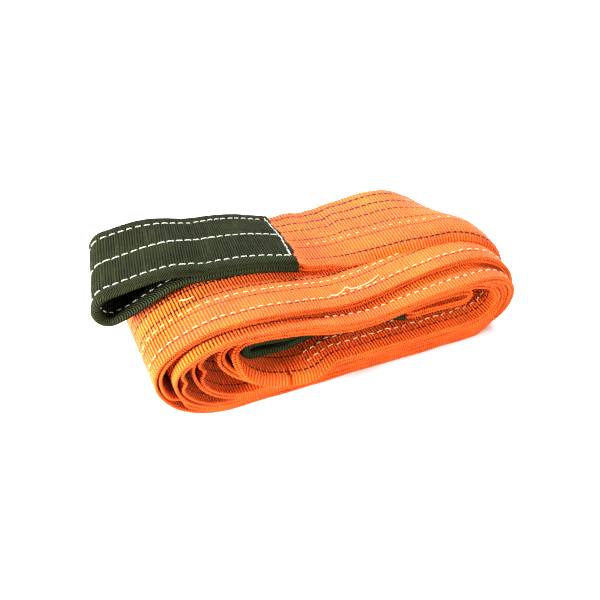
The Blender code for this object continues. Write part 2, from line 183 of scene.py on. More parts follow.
# ---------------------------------------------------------------- colours
# painted shade: colour of the webbing's rib grooves and braid gaps, darkened for the shade between the ribs
WEBBING_GROOVE_SHADE = (0.22, 0.006, 0.0002)
WEBBING_RIDGE = (1.0, 0.116, 0.0050)
WEBBING_FADED = (1.0, 0.165, 0.012)
# partly worn lint and partly painted highlight: a creamy tint on the rib tops
WEBBING_LINT_AND_HIGHLIGHT = (1.0, 0.46, 0.20)
MARKER_YARN = (0.012, 0.005, 0.003)
# painted shade: colour of the sleeve's rib grooves and twill troughs, nearly black for the shade between the
# ribs
SLEEVE_GROOVE_SHADE = (0.0006, 0.0008, 0.0003)
SLEEVE_RIDGE = (0.029, 0.034, 0.0150)
SLEEVE_STREAK = (0.036, 0.042, 0.022)
SLEEVE_MOSSY = (0.022, 0.030, 0.010)
SLEEVE_LINT = (0.095, 0.105, 0.070)
FLOOR_DARK = (0.86, 0.86, 0.86)
FLOOR_LIGHT = (0.90, 0.90, 0.90)

# ---------------------------------------------------------------- light and camera
WORLD_STRENGTH = 0.20
LIGHTS_AIM = (0.0, 0.0, 0.05)
# name, place, size, power
LIGHTS = (("key", (0.42, 0.80, 0.72), 0.36, 76.0),
          ("side", (-1.02, -0.14, 0.36), 0.45, 74.0),
          ("front", (0.20, -1.15, 0.28), 0.6, 24.0))
FLOOR_REACH = 4.0
FLOOR_Z = -0.0004
CAMERA_LENS = 53.4
CAMERA_TURN = radians(23.0)
CAMERA_TILT = radians(39.0)
CAMERA_DISTANCE = 0.784
CAMERA_AIM = (-0.0085, 0.0, 0.0530)


# ---------------------------------------------------------------- lines, as in the CAD part
def smooth(start, end, x):
    """Rises from 0 at start to 1 at end."""
    t = min(max((x - start) / (end - start), 0.0), 1.0)
    return t * t * (3.0 - 2.0 * t)


def upper_height(run, x):
    """Centre height of an upper run; run 0 is the top one, laid on the wound coil."""
    sag = SAG_DEPTH * exp(-(((x - SAG_X) / SAG_LENGTH) ** 2))
    drop = RIGHT_DROP * smooth(RIGHT_DROP_FROM, RIGHT_DROP_TO, x)
    return STACK_HEIGHT - sag - drop - (run - 1) * LAYER_PITCH


def lower_height(run):
    """Centre height of a lower run; run 0 lies on the floor."""
    return STRAP_THICKNESS / 2 + run * LAYER_PITCH


def quarter(x, z, reach, rise, start, end, power=2.0, count=14):
    """Quarter of a rounded bend; start and end in degrees."""
    points = []
    for i in range(count + 1):
        angle = radians(start + (end - start) * i / count)
        c = cos(angle)
        s = sin(angle)
        along = reach * abs(c) ** (2 / power)
        up = rise * abs(s) ** (2 / power)
        points.append((x + (along if c >= 0 else -along), z + (up if s >= 0 else -up)))
    return points


def add_run(line, start, end, height, near_start, near_end):
    """Nearly level stretch between two bights."""
    count = max(3, int(abs(end - start) / 0.004))
    for i in range(1, count):
        t = i / count
        x = start + (end - start) * t
        line.append((x, height(x), near_start + (near_end - near_start) * smooth(0.0, 1.0, t)))


def add_bight(line, points, near_start, near_end):
    """Turn at either end of the coil; the strap's edge shifts sideways through it."""
    last = len(points) - 1
    for i, (x, z) in enumerate(points):
        line.append((x, z, near_start + (near_end - near_start) * i / last))


def right_bight(turn):
    """Bend from an upper run down to the lower run of the same turn."""
    face = RIGHT_FACE_X[turn] - STRAP_THICKNESS / 2
    x_up = face - RIGHT_UPPER_REACH[turn]
    x_low = face - RIGHT_LOWER_REACH[turn]
    rise = upper_height(turn, x_up) - RIGHT_WIDEST_Z
    fall = RIGHT_WIDEST_Z - lower_height(turn)
    bend = quarter(x_up, RIGHT_WIDEST_Z, RIGHT_UPPER_REACH[turn], rise, 90, 0)
    bend += quarter(x_low, RIGHT_WIDEST_Z, RIGHT_LOWER_REACH[turn], fall, 0, -90)[1:]
    return x_up, x_low, bend


def left_bight(turn):
    """Bend from a lower run up to the upper run of the next turn."""
    face = LEFT_FACE_X[turn] + STRAP_THICKNESS / 2
    widest = LEFT_WIDEST_Z[turn]
    x_low = face + LEFT_LOWER_REACH[turn]
    x_up = face + LEFT_UPPER_REACH[turn]
    fall = widest - lower_height(turn)
    rise = upper_height(turn + 1, x_up) - widest
    bend = quarter(x_low, widest, LEFT_LOWER_REACH[turn], fall, -90, -180, LEFT_LOWER_POWER[turn])
    bend += quarter(x_up, widest, LEFT_UPPER_REACH[turn], rise, 180, 90)[1:]
    return x_low, x_up, bend


def inner_eye_height(x):
    """Centre height of the inner eye, which hugs the last upper run and sinks to turn back up into it."""
    contact = upper_height(TURNS, x) - STRAP_THICKNESS / 2 - REST_GAP
    return contact - (LEG_THICKNESS + LEG_PITCH) / 2 - INNER_BIGHT_SINK * smooth(0.080, 0.125, x)


def coil_line():
    """Centre line of the strap as (x, z, near edge), from the top run to the inner eye."""
    line = [(THROAT_X, upper_height(0, THROAT_X), UPPER_NEAR_LEFT_Y[0])]
    x = THROAT_X
    near = UPPER_NEAR_LEFT_Y[0]
    for turn in range(TURNS):
        x_up, x_low, bend = right_bight(turn)
        add_run(line, x, x_up, lambda v: upper_height(turn, v), near, UPPER_NEAR_Y[turn])
        add_bight(line, bend, UPPER_NEAR_Y[turn], LOWER_NEAR_Y[turn])
        x_left, x_next, bend = left_bight(turn)
        add_run(line, x_low, x_left, lambda v: lower_height(turn), LOWER_NEAR_Y[turn], LOWER_NEAR_Y[turn])
        add_bight(line, bend, LOWER_NEAR_Y[turn], UPPER_NEAR_LEFT_Y[turn + 1])
        x = x_next
        near = UPPER_NEAR_LEFT_Y[turn + 1]
    x_turn = INNER_BIGHT_X - INNER_BIGHT_REACH
    add_run(line, x, x_turn, lambda v: upper_height(TURNS, v), near, near)
    z_up = upper_height(TURNS, x_turn)
    radius = (z_up - inner_eye_height(x_turn)) / 2
    add_bight(line, quarter(x_turn, z_up - radius, INNER_BIGHT_REACH, radius, 90, -90), near, near)
    add_run(line, x_turn, INNER_EYE_THROAT_X, inner_eye_height, near, near)
    line.append((INNER_EYE_THROAT_X, inner_eye_height(INNER_EYE_THROAT_X), near))
    return line


def resample(line, step):
    """Even stations along a line, keeping both ends."""
    points = np.array(line)
    travelled = np.concatenate([[0.0], np.cumsum(np.hypot(*np.diff(points[:, :2], axis=0).T))])
    count = max(2, round(travelled[-1] / step))
    at = np.linspace(0.0, travelled[-1], count + 1)
    return np.stack([np.interp(at, travelled, points[:, i]) for i in range(3)], 1)


def relax(line, rounds):
    """Evens out the bending; the ends stay where they are."""
    for _ in range(rounds):
        line = np.concatenate([line[:1], (line[:-2] + 2 * line[1:-1] + line[2:]) / 4, line[-1:]])
    return line


def eye_line(throat, tip, upper, lower, near):
    """Centre line of a loop: along the upper leg to the tip, around it and back along the lower leg."""
    radius = (upper(tip + 0.012) - lower(tip + 0.012)) / 2
    turn_x = tip + radius
    middle = (upper(turn_x) + lower(turn_x)) / 2
    half = (upper(turn_x) - lower(turn_x)) / 2
    legs = 40
    xs = [throat + (turn_x - throat) * i / legs for i in range(legs)]
    line = [(x, upper(x), near(x)) for x in xs]
    line += [(x, z, near(x)) for x, z in quarter(turn_x, middle, radius, half, 90, 270, 2.0, 16)]
    line += [(x, lower(x), near(x)) for x in reversed(xs)]
    return relax(resample(line, 0.0015), 4)


def leg_spread(throat, x):
    """Distance between the centres of the two legs where they lie together."""
    plies = PLY_THICKNESS + PLY_GAP
    return plies + (LEG_PITCH - plies) * smooth(throat, throat - SLEEVE_START, x)


def outer_lower_leg(x):
    """On the strap's lower ply at the throat, then lying on the coil and drooping over its end."""
    start = upper_height(0, x) - (PLY_THICKNESS + PLY_GAP) / 2
    rest = upper_height(1, x) + STRAP_THICKNESS / 2 + REST_GAP + LEG_THICKNESS / 2
    droop = OUTER_EYE_DROOP * smooth(-0.104, -0.180, x)
    return start + (rest - start) * smooth(THROAT_X, THROAT_X - SLEEVE_START, x) - droop


def outer_upper_leg(x):
    """Parts from the lower leg towards the tip."""
    return outer_lower_leg(x) + leg_spread(THROAT_X, x) + OUTER_EYE_GAP * smooth(-0.085, -0.172, x)


def outer_near(x):
    """The outer eye lies slightly askew on the coil and runs straight into the top run."""
    if x > THROAT_X:
        return float(np.interp(x, coil.x[:120], coil.near[:120]))
    return UPPER_NEAR_LEFT_Y[0] + tan(OUTER_EYE_YAW) * (THROAT_X - x) * smooth(0.0, -0.050, x)


def inner_upper_leg(x):
    """Under the last upper run."""
    return inner_eye_height(x) + leg_spread(INNER_EYE_THROAT_X, x) / 2


def inner_lower_leg(x):
    """Sinks away from the upper leg towards the tip."""
    return (inner_eye_height(x) - leg_spread(INNER_EYE_THROAT_X, x) / 2
            - INNER_EYE_GAP * smooth(-0.010, -0.058, x))


def inner_near(x):
    """The inner eye lies further in than the run above it and comes back out towards its tip."""
    return (UPPER_NEAR_Y[TURNS] + INNER_EYE_RECESS * smooth(INNER_EYE_THROAT_X, 0.050, x)
            - INNER_EYE_SKEW * smooth(0.010, -0.045, x))


class Path:
    """A centre line with its arc length and its normal, which points to the left of the way it runs."""

    def __init__(self, line, turned=False):
        self.turned = turned
        self.x, self.z, self.near = np.array(line).T
        self.s = np.concatenate([[0.0], np.cumsum(np.hypot(np.diff(self.x), np.diff(self.z)))])
        dx = np.gradient(self.x)
        dz = np.gradient(self.z)
        length = np.hypot(dx, dz)
        self.nx = -dz / length
        self.nz = dx / length
        self.length = self.s[-1]

    def at(self, values, s):
        return np.interp(s, self.s, values)

    def where_x(self, x, start, end):
        """Arc length between start and end at which the line is nearest to x."""
        inside = np.flatnonzero((self.s >= start) & (self.s <= end))
        return self.s[inside[np.argmin(np.abs(self.x[inside] - x))]]

    def turning_points(self):
        """Arc lengths at which the line changes between going right and going left."""
        heading = np.sign(np.diff(self.x))
        return self.s[np.flatnonzero(heading[1:] != heading[:-1]) + 1]


coil = Path(relax(resample(coil_line(), 0.0015), 10))
outer_eye_line = eye_line(EYE_WEBBING_END_X, OUTER_EYE_TIP_X, outer_upper_leg, outer_lower_leg, outer_near)
outer_eye = Path(outer_eye_line, turned=True)
inner_eye = Path(eye_line(INNER_EYE_THROAT_X, INNER_EYE_TIP_X, inner_upper_leg, inner_lower_leg, inner_near))
turning = coil.turning_points()
RIGHT = turning[0:2 * TURNS:2]
LEFT = turning[1:2 * TURNS:2]

# the CAD part is centred on its outline; this puts the lines above into the same frame
low_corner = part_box("webbing_outer_ply")[0]
SHIFT = np.array([low_corner.x - (min(coil.x) - STRAP_THICKNESS / 2),
                  low_corner.y - min(LOWER_NEAR_Y + UPPER_NEAR_Y + UPPER_NEAR_LEFT_Y), 0.0])


# ---------------------------------------------------------------- bending the cross-section
def rise(start, end, x):
    """smooth() for arrays."""
    t = np.clip((x - start) / (end - start), 0.0, 1.0)
    return t * t * (3.0 - 2.0 * t)


def window(start, end, ramp, x):
    """1 between start and end, fading out over ramp on both sides."""
    return rise(start - ramp, start, x) * (1.0 - rise(end, end + ramp, x))


def bump(centre, reach, x):
    return np.exp(-(((x - centre) / reach) ** 2))


def wobble(s, seed):
    """Slow irregular wave between about -1 and 1."""
    waves = np.sin(s * 61.0 + seed) + 0.7 * np.sin(s * 143.0 + 2.3 * seed)
    return (waves + 0.5 * np.sin(s * 29.0 + 5.1 * seed)) / 2.0


def fold_margin(across, off, at, radius, angle):
    """Bends the near margin round towards negative off: the part below 'at' turns by angle."""
    angle = np.maximum(angle, 1e-6)
    arc = np.maximum(at - across, 0.0)
    turned = np.minimum(arc / radius, angle)
    rest = arc - turned * radius
    flat = at - radius * np.sin(turned) - rest * np.cos(turned)
    down = -radius * (1.0 - np.cos(turned)) - rest * np.sin(turned)
    inside = across < at
    return (np.where(inside, flat - off * np.sin(turned), across),
            np.where(inside, down + off * np.cos(turned), off))


def coil_shape(s, across, off, ply):
    """Everything that makes the wound strap lie less evenly than its centre line."""
    x = coil.at(coil.x, s)
    # the two plies' edges never line up exactly
    across = across + PLY_EDGE_WAVER * wobble(s, 1.0 + 2.0 * ply) * rise(EYE_WEBBING_END_X, 0.045, s)
    # slack in the inner ply buckles into the hollow of the left bights
    if ply < 0:
        for turn, amount, offset, reach in BUCKLES:
            near_first = 1.0 - 0.45 * rise(0.0, 0.05, across)
            off = off - amount * bump(LEFT[turn] + offset, reach, s) * near_first
    # the top run is crowned and dented
    top = 1.0 - rise(RIGHT[0] + 0.015, RIGHT[0] + 0.045, s)
    crown = TOP_CROWN * rise(0.004, 0.030, across) * window(0.055, 0.150, 0.035, x)
    dents = sum(amount * bump(dent_x, reach_x, x) * bump(dent_y, reach_y, across)
                for dent_x, reach_x, dent_y, reach_y, amount in TOP_DENTS) * rise(EYE_WEBBING_END_X, 0.030, x)
    # the far margins of the two outermost turns flop down towards the right end
    for turn in (0, 1):
        here = rise(LEFT[turn - 1], LEFT[turn - 1] + 0.05, s) if turn else 1.0
        here = here * rise(FLOP_FROM_X, FLOP_FULL_X, x)
        here = here * (1.0 - rise(RIGHT[turn] - 0.020, RIGHT[turn] + 0.030, s))
        from_far, off = fold_margin(WEB_WIDTH - across, off, WEB_WIDTH - (FLOP_Y - coil.at(coil.near, s)),
                                    FLOP_RADIUS, FLOP_ANGLE * here)
        across = WEB_WIDTH - from_far
    # the near margin of the top run is rolled down over the turn below
    angle = sum(step * rise(begins, ends, x) for step, begins, ends in NEAR_ROLL)
    across, folded = fold_margin(across, off, NEAR_ROLL_AT, NEAR_ROLL_RADIUS, angle * top)
    off = folded + top * (crown + dents)
    # the innermost lower run sticks out, and its near margin hangs down over the runs below
    hang = window(LEFT[4] - 0.072, LEFT[4] - 0.030, 0.030, s)
    across, turned = fold_margin(across, -off, HANG_AT, HANG_RADIUS, HANG_ANGLE * hang)
    across = across - HANG_OUT * hang
    return across, -turned + COIL_RIPPLE * wobble(s * 1.3 + across * 9.0, 4.0)


def eye_shape(s, across, off, ply):
    """The webbing inside the inner eye is held straight by its sleeve."""
    return across, off


def outer_eye_shape(s, across, off, ply):
    """The far margin of the outer eye hangs down a little; off points down on the upper leg."""
    x = outer_eye.at(outer_eye.x, s)
    hang = EYE_HANG_ANGLE * rise(EYE_WEBBING_END_X, -0.012, x) * rise(-0.162, -0.100, x)
    lower = s > outer_eye.s[np.argmin(outer_eye.x)]
    sign = np.where(lower, 1.0, -1.0)
    hang_at = WEB_WIDTH - EYE_HANG_FROM
    from_far, turned = fold_margin(WEB_WIDTH - across, off * sign, hang_at, EYE_HANG_RADIUS, hang)
    return WEB_WIDTH - from_far, turned * sign


def place(path, shape, s, across, off, ply=1):
    """Points in the frame for places on a strap."""
    s, across, off = np.broadcast_arrays(s, across, off)
    across, off = shape(s, across, off, ply)
    x = path.at(path.x, s) + path.at(path.nx, s) * off
    y = path.at(path.near, s) + across
    if path.turned:
        angle = OUTER_EYE_TURN * rise(THROAT_X, OUTER_EYE_TURN_X, x)
        reach = y - UPPER_NEAR_LEFT_Y[0]
        x = x + reach * np.sin(angle)
        y = UPPER_NEAR_LEFT_Y[0] + reach * np.cos(angle)
    return np.stack([x, y, path.at(path.z, s) + path.at(path.nz, s) * off], -1) + SHIFT


def facing(path, s):
    """Outward normal of a strap."""
    return np.stack([path.at(path.nx, s), 0.0 * s, path.at(path.nz, s)], -1)


# ---------------------------------------------------------------- meshes
def add_mesh(name, points, faces, material, woven=None, sharp=radians(55)):
    """Mesh object with outward faces; woven is (across, along, through) for the weave."""
    mesh = bpy.data.meshes.new(name)
    mesh.from_pydata(points.reshape(-1, 3).tolist(), [], faces)
    if woven is not None:
        attribute = mesh.attributes.new("woven", "FLOAT_VECTOR", "POINT")
        attribute.data.foreach_set("vector", woven.astype(np.float32).ravel())
    bm = bmesh.new()
    bm.from_mesh(mesh)
    bmesh.ops.recalc_face_normals(bm, faces=bm.faces)
    bm.to_mesh(mesh)
    bm.free()
    mesh.shade_smooth()
    mesh.set_sharp_from_angle(angle=sharp)
    mesh.materials.append(material)
    obj = bpy.data.objects.new(name, mesh)
    bpy.context.scene.collection.objects.link(obj)
    return obj


def ring_faces(rings, count, first=0):
    """Quads between neighbouring rings of equal size."""
    faces = []
    for i in range(rings - 1):
        a = first + i * count
        b = a + count
        faces += [(a + j, a + (j + 1) % count, b + (j + 1) % count, b + j) for j in range(count)]
    return faces


def end_faces(start, count):
    """Closes the end of a flat section with quads between its two faces."""
    half = count // 2
    return [(start + j, start + j + 1, start + count - 2 - j, start + count - 1 - j) for j in range(half - 1)]


def ply_profile(width, thickness):
    """Section of one ply: a flat ribbon with rounded selvages, as (across, off)."""
    edge = SELVAGE_ROUND
    turns = (radians(18), radians(45), radians(70))
    round_in = [(edge * (1 - cos(a)), thickness / 2 * sin(a)) for a in turns]
    flats = np.concatenate([[edge, 0.0024, 0.0045], np.linspace(0.008, width - 0.008, 13),
                            [width - 0.0045, width - 0.0024, width - edge]])
    top = round_in + [(u, thickness / 2) for u in flats]
    top += [(width - u, h) for u, h in reversed(round_in)]
    return np.array(top + [(u, -h) for u, h in reversed(top)])


def add_ply(name, path, shape, start, end, middle, ply, material, weave=(0.0, 1.0), notches=(0.0, 0.0)):
    """One ply of webbing between two arc lengths; a notch opens the near corner of a cut end."""
    profile = ply_profile(WEB_WIDTH, PLY_THICKNESS)
    stations = np.linspace(start, end, max(2, round((end - start) / PLY_RING_STEP)) + 1)[:, None]
    across = profile[None, :, 0] + 0 * stations
    through = profile[None, :, 1] + 0 * stations
    near_corner = 1.0 - rise(0.010, 0.016, across)
    along = stations + near_corner * (notches[0] * np.exp((start - stations) / NOTCH_REACH)
                                      - notches[1] * np.exp((stations - end) / NOTCH_REACH))
    points = place(path, shape, along, across, middle + through, ply)
    woven = np.stack([across, weave[0] + weave[1] * along, weave[1] * through], -1)
    count = len(profile)
    faces = ring_faces(len(stations), count)
    faces += end_faces(0, count) + end_faces((len(stations) - 1) * count, count)
    return add_mesh(name, points, faces, material, woven)


def tubes(paths, ups, radius, sides=6):
    """Round threads along many short lines: paths and ups are arrays of lines of points."""
    tangent = np.gradient(paths, axis=1)
    side = np.cross(tangent, ups)
    side /= np.linalg.norm(side, axis=-1, keepdims=True)
    up = np.cross(side, tangent)
    up /= np.linalg.norm(up, axis=-1, keepdims=True)
    angles = np.arange(sides) * 2 * pi / sides
    taper = np.ones(paths.shape[1])
    taper[[0, -1]] = THREAD_END_TAPER
    ring = radius * taper[None, :, None, None]
    points = (paths[:, :, None] + ring * (np.cos(angles)[:, None] * side[:, :, None]
                                          + np.sin(angles)[:, None] * up[:, :, None]))
    faces = []
    stations = paths.shape[1]
    for i in range(paths.shape[0]):
        first = i * stations * sides
        faces += ring_faces(stations, sides, first)
        faces.append(tuple(first + j for j in range(sides)))
        faces.append(tuple(first + (stations - 1) * sides + j for j in range(sides)))
    return points, faces


def add_stitches(name, path, shape, across, surface, ply, spans, material, duty=0.66, loose=0.0, seed=1,
                 radius=THREAD_RADIUS, proud=0.0009):
    """A row of separate stitches on the face at 'surface'; loose ones wander and stand up."""
    random = np.random.default_rng(seed)
    t = np.linspace(0.0, 1.0, 9)
    starts = np.concatenate([np.arange(a, b - STITCH_PITCH, STITCH_PITCH) for a, b in spans])
    side = 1.0 if surface > 0 else -1.0
    length = STITCH_PITCH * (duty + random.uniform(-0.05, 0.05, (len(starts), 1)))
    start = starts[:, None] + random.uniform(-0.0004, 0.0004, (len(starts), 1))
    along = start + length * t
    skew = random.uniform(-1, 1, (len(starts), 2)) * (0.00025 + loose)
    u = across + skew[:, :1] * (1 - t) + skew[:, 1:] * t
    lift = np.minimum(1.0, 3.2 * np.minimum(t, 1 - t) * 2)
    height = (-0.0005 + lift * (proud + random.uniform(0, 0.0002 + 0.6 * loose, (len(starts), 1))))
    paths = place(path, shape, along, u, surface + side * height, ply)
    points, faces = tubes(paths, facing(path, along), radius)
    return add_mesh(name, points, faces, material)


def add_thread(name, path, shape, knots, surface, ply, radius, material):
    """A loose thread through knots of (along, across, height above the surface)."""
    knots = np.array(knots, float)
    t = np.linspace(0, len(knots) - 1, (len(knots) - 1) * 6 + 1)
    line = np.stack([np.interp(t, range(len(knots)), knots[:, i]) for i in range(3)], 1)
    line = relax(line, 6)
    side = 1.0 if surface > 0 else -1.0
    points = place(path, shape, line[:, 0], line[:, 1], surface + side * line[:, 2], ply)
    points, faces = tubes(points[None], facing(path, line[:, 0])[None], radius)
    return add_mesh(name, points, faces, material)


# ---------------------------------------------------------------- materials
class Nodes:
    """Shorthand for building a material's shader."""

    def __init__(self, name):
        self.material = bpy.data.materials.new(name)
        self.material.use_nodes = True
        self.tree = self.material.node_tree
        self.shader = self.tree.nodes["Principled BSDF"]

    def link(self, value, socket):
        if isinstance(value, (int, float, tuple)):
            socket.default_value = value
        else:
            self.tree.links.new(value, socket)

    def math(self, operation, a, b=0.0, c=None):
        node = self.tree.nodes.new("ShaderNodeMath")
        node.operation = operation
        for i, value in enumerate((a, b, c)):
            if value is not None:
                self.link(value, node.inputs[i])
        return node.outputs[0]

    def woven(self):
        """The stored weave places: the vector itself, then across, along and through."""
        attribute = self.tree.nodes.new("ShaderNodeAttribute")
        attribute.attribute_name = "woven"
        split = self.tree.nodes.new("ShaderNodeSeparateXYZ")
        self.tree.links.new(attribute.outputs["Vector"], split.inputs[0])
        return attribute.outputs["Vector"], split.outputs[0], split.outputs[1], split.outputs[2]

    def noise(self, vector, scale, detail=3.0, stretch=(1.0, 1.0, 1.0)):
        mapping = self.tree.nodes.new("ShaderNodeMapping")
        mapping.inputs["Scale"].default_value = stretch
        self.link(vector, mapping.inputs["Vector"])
        node = self.tree.nodes.new("ShaderNodeTexNoise")
        node.inputs["Scale"].default_value = scale
        node.inputs["Detail"].default_value = detail
        self.tree.links.new(mapping.outputs[0], node.inputs["Vector"])
        return node.outputs["Fac"]

    def mix(self, factor, a, b):
        node = self.tree.nodes.new("ShaderNodeMix")
        node.data_type = "RGBA"
        self.link(factor, node.inputs["Factor"])
        for value, socket in ((a, node.inputs["A"]), (b, node.inputs["B"])):
            self.link(value + (1.0,) if isinstance(value, tuple) else value, socket)
        return node.outputs["Result"]

    def ramp(self, value, low, high):
        node = self.tree.nodes.new("ShaderNodeMapRange")
        node.interpolation_type = "SMOOTHSTEP"
        self.link(value, node.inputs["Value"])
        node.inputs["From Min"].default_value = low
        node.inputs["From Max"].default_value = high
        return node.outputs["Result"]

    def blend(self, factor, a, b):
        """a where factor is 0 and b where it is 1."""
        return self.math("ADD", self.math("MULTIPLY", a, self.math("SUBTRACT", 1.0, factor)),
                         self.math("MULTIPLY", b, factor))

    def wave(self, value):
        """0 to 1 and back for every whole number."""
        turn = self.math("MULTIPLY", value, 2 * pi)
        return self.math("MULTIPLY_ADD", self.math("COSINE", turn), -0.5, 0.5)

    def finish(self, tone, height, distance, roughness, specular, sheen, sheen_tint):
        bump_node = self.tree.nodes.new("ShaderNodeBump")
        bump_node.inputs["Strength"].default_value = 1.0
        bump_node.inputs["Distance"].default_value = distance
        self.link(height, bump_node.inputs["Height"])
        self.link(tone, self.shader.inputs["Base Color"])
        self.link(bump_node.outputs["Normal"], self.shader.inputs["Normal"])
        self.link(roughness, self.shader.inputs["Roughness"])
        self.shader.inputs["Specular IOR Level"].default_value = specular
        self.shader.inputs["Sheen Weight"].default_value = sheen
        self.shader.inputs["Sheen Roughness"].default_value = 0.45
        self.shader.inputs["Sheen Tint"].default_value = sheen_tint + (1.0,)
        return self.material


def webbing_material():
    """Cross-ribbed polyester webbing with dashed marker yarns and a braided selvage."""
    n = Nodes("orange_webbing_weave")
    vector, across, along, through = n.woven()
    drift = n.noise(vector, 1.0, 2.0, (90.0, 60.0, 0.0))
    rib_at = n.math("MULTIPLY_ADD", drift, 0.5, n.math("DIVIDE", along, RIB_PITCH))
    ridge = n.math("POWER", n.wave(rib_at), 0.75)
    row = n.math("MULTIPLY", n.math("FLOOR", rib_at), 0.5)
    yarn = n.wave(n.math("ADD", n.math("DIVIDE", across, YARN_PITCH), row))
    weave = n.math("MULTIPLY", ridge, n.math("MULTIPLY_ADD", yarn, 0.28, 0.72))
    # selvage: a herringbone over the thickness of the edge
    middle = n.math("ABSOLUTE", n.math("SUBTRACT", across, WEB_WIDTH / 2))
    edge = n.ramp(middle, WEB_WIDTH / 2 - 0.0013, WEB_WIDTH / 2 - 0.0009)
    braid_at = n.math("DIVIDE", along, RIB_PITCH * 0.75)
    slant = n.math("MULTIPLY_ADD", n.math("ABSOLUTE", through), 420.0, braid_at)
    braid = n.math("POWER", n.wave(slant), 0.7)
    height = n.blend(edge, weave, braid)
    # marker yarns show as dashes where they pass over two ribs
    waver = n.noise(vector, 1.0, 1.0, (40.0, 120.0, 0.0))
    wander = n.math("MULTIPLY_ADD", waver, 0.0007, n.math("ADD", across, -0.00035))
    marks = 0.0
    for k, (where, half_width) in enumerate(STRIPES):
        on_yarn = n.math("COMPARE", wander, where, half_width)
        dash = n.math("LESS_THAN", n.math("FRACT", n.math("MULTIPLY_ADD", rib_at, 0.5, 0.37 * k)), 0.78)
        marks = n.math("ADD", marks, n.math("MULTIPLY", on_yarn, dash))
    patches = n.noise(vector, 1.0, 4.0, (26.0, 18.0, 0.0))
    fuzz = n.noise(vector, 1.0, 3.0, (900.0, 700.0, 900.0))
    # painted shade: the grooves between the ribs and in the braided selvage are coloured dark where shade
    # falls; the rib tops take the dyed orange
    tone = n.mix(height, WEBBING_GROOVE_SHADE, WEBBING_RIDGE)
    tone = n.mix(n.math("MULTIPLY", n.ramp(patches, 0.35, 0.75), 0.30), tone, WEBBING_FADED)
    # pale fuzz on the rib tops: partly worn lint, partly a painted creamy highlight
    lint_and_highlight = n.math("MULTIPLY", n.ramp(fuzz, 0.55, 0.85), height)
    tone = n.mix(n.math("MULTIPLY", lint_and_highlight, 0.60), tone, WEBBING_LINT_AND_HIGHLIGHT)
    tone = n.mix(marks, tone, MARKER_YARN)
    relief = n.math("MULTIPLY_ADD", fuzz, 0.12, height)
    roughness = n.math("MULTIPLY_ADD", patches, 0.12, 0.62)
    return n.finish(tone, relief, distance=0.00150, roughness=roughness, specular=0.09, sheen=0.02,
                    sheen_tint=(1.0, 0.70, 0.45))


def sleeve_material():
    """Dark olive sleeve cloth: fine cross ribs on the faces, diagonal twill on the rounded margins."""
    n = Nodes("olive_sleeve_weave")
    vector, across, along, through = n.woven()
    rib_at = n.math("DIVIDE", along, SLEEVE_RIB_PITCH)
    ridge = n.math("POWER", n.wave(rib_at), 0.7)
    row = n.math("MULTIPLY", n.math("FLOOR", rib_at), 0.5)
    yarn = n.wave(n.math("ADD", n.math("DIVIDE", across, SLEEVE_YARN_PITCH), row))
    face = n.math("MULTIPLY", n.math("POWER", ridge, 1.6), n.math("MULTIPLY_ADD", yarn, 0.60, 0.40))
    around = n.math("ADD", across, n.math("MULTIPLY", through, -1.0))
    twill = n.wave(n.math("MULTIPLY_ADD", around, 330.0, n.math("DIVIDE", along, SLEEVE_TWILL_PITCH)))
    middle = n.math("ABSOLUTE", n.math("SUBTRACT", across, SLEEVE_WIDTH / 2))
    margin = n.ramp(middle, SLEEVE_WIDTH / 2 - 0.0105, SLEEVE_WIDTH / 2 - 0.0075)
    height = n.blend(margin, face, twill)
    streak = n.noise(vector, 1.0, 2.0, (25.0, 420.0, 0.0))
    patches = n.noise(vector, 1.0, 4.0, (35.0, 22.0, 20.0))
    fuzz = n.noise(vector, 1.0, 3.0, (1400.0, 1100.0, 1200.0))
    # painted shade: the grooves between the ribs and the twill troughs are coloured nearly black where shade
    # falls
    tone = n.mix(height, SLEEVE_GROOVE_SHADE, SLEEVE_RIDGE)
    tone = n.mix(n.math("MULTIPLY", n.ramp(streak, 0.50, 0.75), 0.30), tone, SLEEVE_STREAK)
    tone = n.mix(n.math("MULTIPLY", n.ramp(patches, 0.40, 0.75), 0.30), tone, SLEEVE_MOSSY)
    tone = n.mix(n.math("MULTIPLY", n.ramp(fuzz, 0.60, 0.85), 0.42), tone, SLEEVE_LINT)
    relief = n.math("MULTIPLY_ADD", fuzz, 0.15, height)
    roughness = n.math("MULTIPLY_ADD", patches, 0.1, 0.72)
    return n.finish(tone, relief, distance=0.00130, roughness=roughness, specular=0.01, sheen=0.0,
                    sheen_tint=(0.75, 0.80, 0.62))


def thread_material(name, shaded, lit, soiled):
    """Heavy twisted polyester thread, slightly soiled."""
    n = Nodes(name)
    coordinates = n.tree.nodes.new("ShaderNodeTexCoord").outputs["Object"]
    twist = n.noise(coordinates, 2600.0, 2.0)
    soil = n.noise(coordinates, 160.0, 3.0)
    tone = n.mix(n.ramp(twist, 0.35, 0.70), shaded, lit)
    tone = n.mix(n.math("MULTIPLY", n.ramp(soil, 0.50, 0.80), 0.35), tone, soiled)
    roughness = n.math("MULTIPLY_ADD", soil, 0.1, 0.55)
    return n.finish(tone, twist, distance=0.00020, roughness=roughness, specular=0.3, sheen=0.1,
                    sheen_tint=(1.0, 1.0, 1.0))


def floor_material():
    """Plain pale floor."""
    n = Nodes("pale_floor")
    coordinates = n.tree.nodes.new("ShaderNodeTexCoord").outputs["Object"]
    grain = n.noise(coordinates, 40.0, 3.0)
    tone = n.mix(grain, FLOOR_DARK, FLOOR_LIGHT)
    return n.finish(tone, grain, distance=0.00005, roughness=0.9, specular=0.2, sheen=0.0,
                    sheen_tint=(1.0, 1.0, 1.0))


webbing = webbing_material()
sleeve_cloth = sleeve_material()
white_thread = thread_material("white_sewing_thread", shaded=(0.45, 0.43, 0.36), lit=(0.80, 0.79, 0.72),
                               soiled=(0.50, 0.42, 0.30))
body_thread = thread_material("body_sewing_thread", shaded=(0.60, 0.34, 0.14), lit=(0.90, 0.66, 0.38),
                              soiled=(0.80, 0.36, 0.12))


